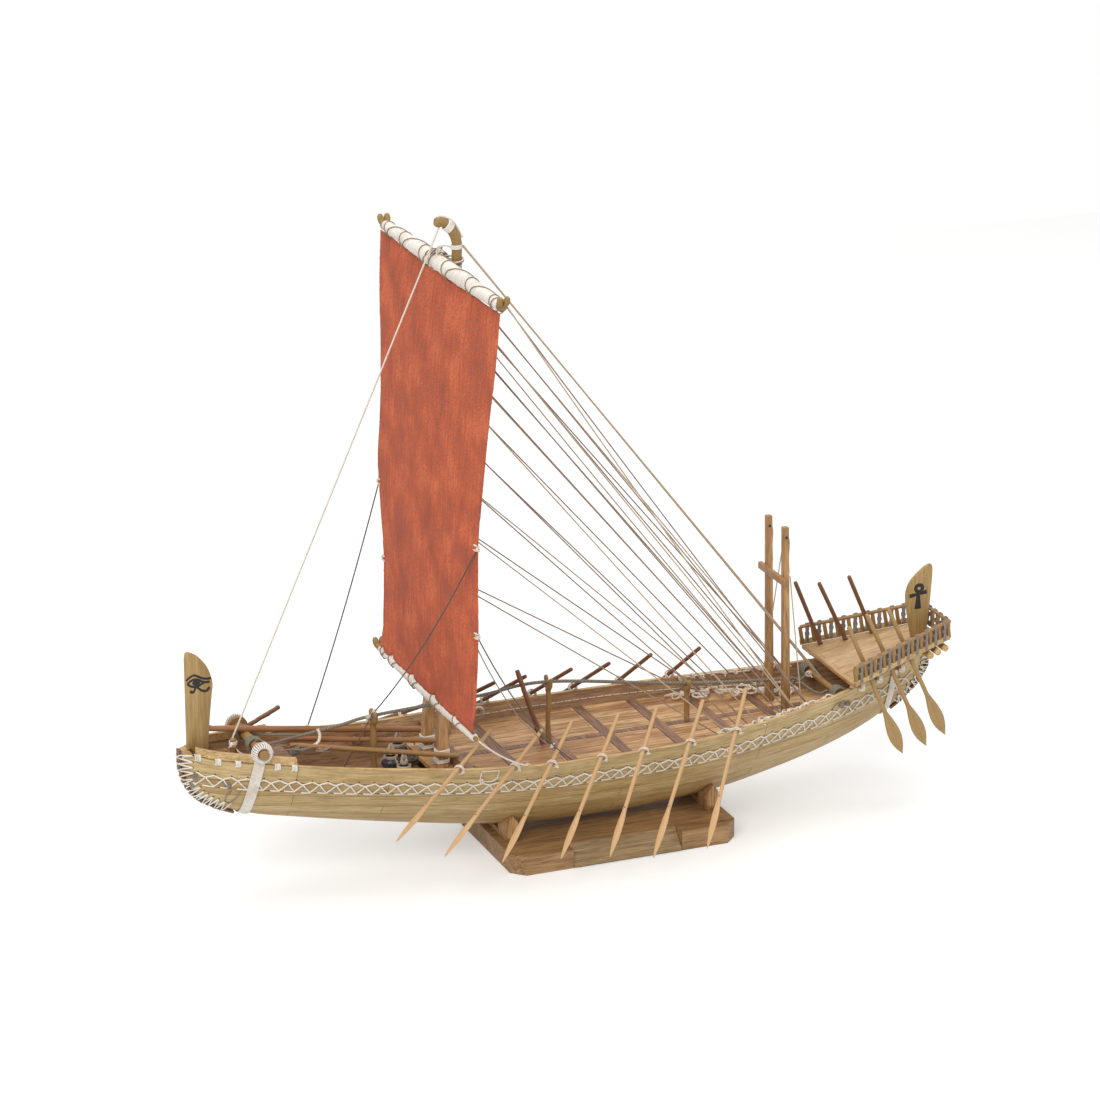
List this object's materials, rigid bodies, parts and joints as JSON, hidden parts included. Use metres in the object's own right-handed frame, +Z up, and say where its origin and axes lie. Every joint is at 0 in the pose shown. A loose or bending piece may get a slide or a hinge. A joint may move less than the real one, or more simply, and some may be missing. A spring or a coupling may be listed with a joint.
{
  "type": "ancient egyptian ship model",
  "caption": "Wooden display model of an ancient Egyptian sea-going ship with a square sail, bipod mast, rigging, rowing and steering oars, on a stand.",
  "frame": {"origin": "centre of the underside of the stand's base, on the table", "axes": "+X towards the stern, +Y to starboard, +Z up"},
  "size_m": [0.5037, 0.2203, 0.4064],
  "materials": {
    "hull_wood": "satin stained wood",
    "deck_wood": "planked light wood",
    "beam_wood": "dark red-brown wood",
    "oar_wood": "smooth light wood",
    "post_wood": "waxed ochre wood",
    "stand_wood": "satin brown wood",
    "white_cloth": "white cloth wrapping",
    "red_cloth": "coarse red cloth",
    "cream_cord": "cream twisted cord",
    "grey_cord": "dark grey twisted cord",
    "dark_stone": "dark painted jars"
  },
  "bodies": {
    "ship": {"stand_base": "stand_wood", "name_plate": "stand_wood", "fore_cradle": "post_wood", "aft_cradle": "post_wood", "hull": "hull_wood", "stem_post": "hull_wood", "stern_post": "hull_wood", "bow_board": "post_wood", "stern_board": "post_wood", "bow_rail_port": "deck_wood", "bow_rail_starboard": "deck_wood", "main_deck": "deck_wood", "deck_beams": "beam_wood", "foredeck": "beam_wood", "platform_deck": "deck_wood", "platform_frame": "post_wood", "stern_rail": "deck_wood", "bow_pin": "post_wood", "bow_girdle": "cream_cord", "stern_girdle": "cream_cord", "truss_pin": "post_wood", "truss_rope": "grey_cord", "fork_post_fore": "post_wood", "fork_post_middle": "post_wood", "fork_post_aft": "post_wood", "tension_stick": "beam_wood", "mast_leg_port": "post_wood", "mast_leg_starboard": "post_wood", "masthead": "post_wood", "yard": "white_cloth", "boom": "white_cloth", "sail": "red_cloth", "aft_gallows": "post_wood", "backstays": "cream_cord", "masthead_rope": "cream_cord", "bitt": "post_wood", "stone_jars": "dark_stone", "pole_starboard": "post_wood", "pole_middle": "post_wood", "pole_port": "post_wood"},
    "rowing_port_1": {"oar_port_1": "oar_wood"},
    "rowing_port_2": {"oar_port_2": "oar_wood"},
    "rowing_port_3": {"oar_port_3": "oar_wood"},
    "rowing_port_4": {"oar_port_4": "oar_wood"},
    "rowing_port_5": {"oar_port_5": "oar_wood"},
    "rowing_port_6": {"oar_port_6": "oar_wood"},
    "rowing_port_7": {"oar_port_7": "oar_wood"},
    "steering_port_1": {"steering_oar_port_1": "oar_wood"},
    "steering_port_2": {"steering_oar_port_2": "oar_wood"},
    "steering_port_3": {"steering_oar_port_3": "oar_wood"},
    "rowing_starboard_1": {"oar_starboard_1": "oar_wood"},
    "rowing_starboard_2": {"oar_starboard_2": "oar_wood"},
    "rowing_starboard_3": {"oar_starboard_3": "oar_wood"},
    "rowing_starboard_4": {"oar_starboard_4": "oar_wood"},
    "rowing_starboard_5": {"oar_starboard_5": "oar_wood"},
    "rowing_starboard_6": {"oar_starboard_6": "oar_wood"},
    "rowing_starboard_7": {"oar_starboard_7": "oar_wood"},
    "steering_starboard_1": {"steering_oar_starboard_1": "oar_wood"},
    "steering_starboard_2": {"steering_oar_starboard_2": "oar_wood"},
    "steering_starboard_3": {"steering_oar_starboard_3": "oar_wood"}
  },
  "joints": [
    {"name": "rowlock_port_1", "type": "hinge", "parent": "ship", "child": "rowing_port_1", "pos_m": [-0.11, -0.04818, 0.07772], "axis": [0, 0, 1], "range_deg": [-5, 5]},
    {"name": "rowlock_port_2", "type": "hinge", "parent": "ship", "child": "rowing_port_2", "pos_m": [-0.0763, -0.05366, 0.07621], "axis": [0, 0, 1], "range_deg": [-5, 5]},
    {"name": "rowlock_port_3", "type": "hinge", "parent": "ship", "child": "rowing_port_3", "pos_m": [-0.053, -0.05536, 0.07547], "axis": [0, 0, 1], "range_deg": [-5, 5]},
    {"name": "rowlock_port_4", "type": "hinge", "parent": "ship", "child": "rowing_port_4", "pos_m": [-0.0207, -0.05612, 0.07507], "axis": [0, 0, 1], "range_deg": [-5, 5]},
    {"name": "rowlock_port_5", "type": "hinge", "parent": "ship", "child": "rowing_port_5", "pos_m": [0.0068, -0.05592, 0.07503], "axis": [0, 0, 1], "range_deg": [-5, 5]},
    {"name": "rowlock_port_6", "type": "hinge", "parent": "ship", "child": "rowing_port_6", "pos_m": [0.0383, -0.05464, 0.07552], "axis": [0, 0, 1], "range_deg": [-5, 5]},
    {"name": "rowlock_port_7", "type": "hinge", "parent": "ship", "child": "rowing_port_7", "pos_m": [0.0708, -0.05058, 0.07659], "axis": [0, 0, 1], "range_deg": [-5, 5]},
    {"name": "steering_turn_port_1", "type": "hinge", "parent": "ship", "child": "steering_port_1", "pos_m": [0.1702, -0.03143, 0.09038], "axis": [-0.363, 0.1409, 0.9211], "range_deg": [-35, 35]},
    {"name": "steering_turn_port_2", "type": "hinge", "parent": "ship", "child": "steering_port_2", "pos_m": [0.1867, -0.02622, 0.09335], "axis": [-0.3878, 0.1279, 0.9128], "range_deg": [-35, 35]},
    {"name": "steering_turn_port_3", "type": "hinge", "parent": "ship", "child": "steering_port_3", "pos_m": [0.20196, -0.02336, 0.09609], "axis": [-0.3886, 0.1288, 0.9124], "range_deg": [-35, 35]},
    {"name": "rowlock_starboard_1", "type": "hinge", "parent": "ship", "child": "rowing_starboard_1", "pos_m": [-0.11, 0.04818, 0.078], "axis": [0, 0, 1], "range_deg": [-5, 5]},
    {"name": "rowlock_starboard_2", "type": "hinge", "parent": "ship", "child": "rowing_starboard_2", "pos_m": [-0.0763, 0.05366, 0.07663], "axis": [0, 0, 1], "range_deg": [-5, 5]},
    {"name": "rowlock_starboard_3", "type": "hinge", "parent": "ship", "child": "rowing_starboard_3", "pos_m": [-0.053, 0.05536, 0.07583], "axis": [0, 0, 1], "range_deg": [-5, 5]},
    {"name": "rowlock_starboard_4", "type": "hinge", "parent": "ship", "child": "rowing_starboard_4", "pos_m": [-0.0207, 0.05612, 0.07541], "axis": [0, 0, 1], "range_deg": [-5, 5]},
    {"name": "rowlock_starboard_5", "type": "hinge", "parent": "ship", "child": "rowing_starboard_5", "pos_m": [0.0068, 0.05592, 0.07537], "axis": [0, 0, 1], "range_deg": [-5, 5]},
    {"name": "rowlock_starboard_6", "type": "hinge", "parent": "ship", "child": "rowing_starboard_6", "pos_m": [0.0383, 0.05464, 0.07599], "axis": [0, 0, 1], "range_deg": [-5, 5]},
    {"name": "rowlock_starboard_7", "type": "hinge", "parent": "ship", "child": "rowing_starboard_7", "pos_m": [0.0708, 0.05058, 0.07705], "axis": [0, 0, 1], "range_deg": [-5, 5]},
    {"name": "steering_turn_starboard_1", "type": "hinge", "parent": "ship", "child": "steering_starboard_1", "pos_m": [0.16665, 0.03153, 0.08974], "axis": [-0.4192, -0.1373, 0.8975], "range_deg": [-35, 35]},
    {"name": "steering_turn_starboard_2", "type": "hinge", "parent": "ship", "child": "steering_starboard_2", "pos_m": [0.1818, 0.02634, 0.09247], "axis": [-0.4587, -0.1233, 0.88], "range_deg": [-35, 35]},
    {"name": "steering_turn_starboard_3", "type": "hinge", "parent": "ship", "child": "steering_starboard_3", "pos_m": [0.19927, 0.02343, 0.09561], "axis": [-0.4293, -0.1263, 0.8943], "range_deg": [-35, 35]}
  ]
}
